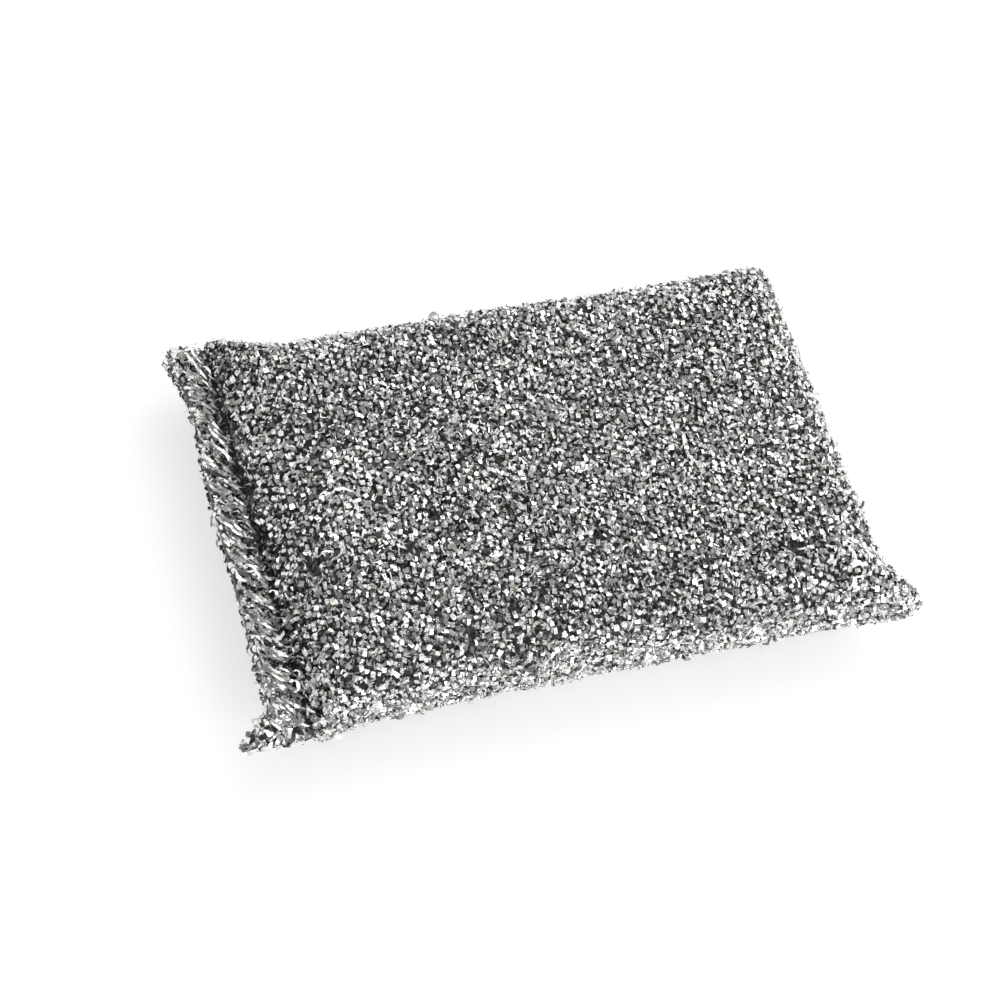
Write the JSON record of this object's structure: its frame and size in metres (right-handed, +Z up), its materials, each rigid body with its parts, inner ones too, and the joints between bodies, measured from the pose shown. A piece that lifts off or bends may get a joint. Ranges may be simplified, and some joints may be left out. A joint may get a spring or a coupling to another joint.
{
  "type": "kitchen sponge",
  "caption": "Rectangular scouring sponge: a foam block in a knitted sleeve of metallised ribbon, sewn shut with a raw edge at one end and a turned seam at the other.",
  "frame": {"origin": "middle of the padded body on the resting face, halfway between the closing seam and the turned end", "axes": "+X along the sleeve from the closing seam to the turned end, +Y across to the back long side, +Z up through the thickness"},
  "size_m": [0.1444, 0.0956, 0.025],
  "materials": {
    "foam": "open-cell polyurethane foam, grey, matt",
    "metallised_knit": "circular knit of flat silver metallised ribbon with black yarn, glittering",
    "thread": "black polyester sewing thread"
  },
  "bodies": {
    "root": {"foam_core": "foam", "knit_sleeve": "metallised_knit", "closing_seam_thread": "thread", "turned_seam_thread": "thread"}
  },
  "joints": []
}
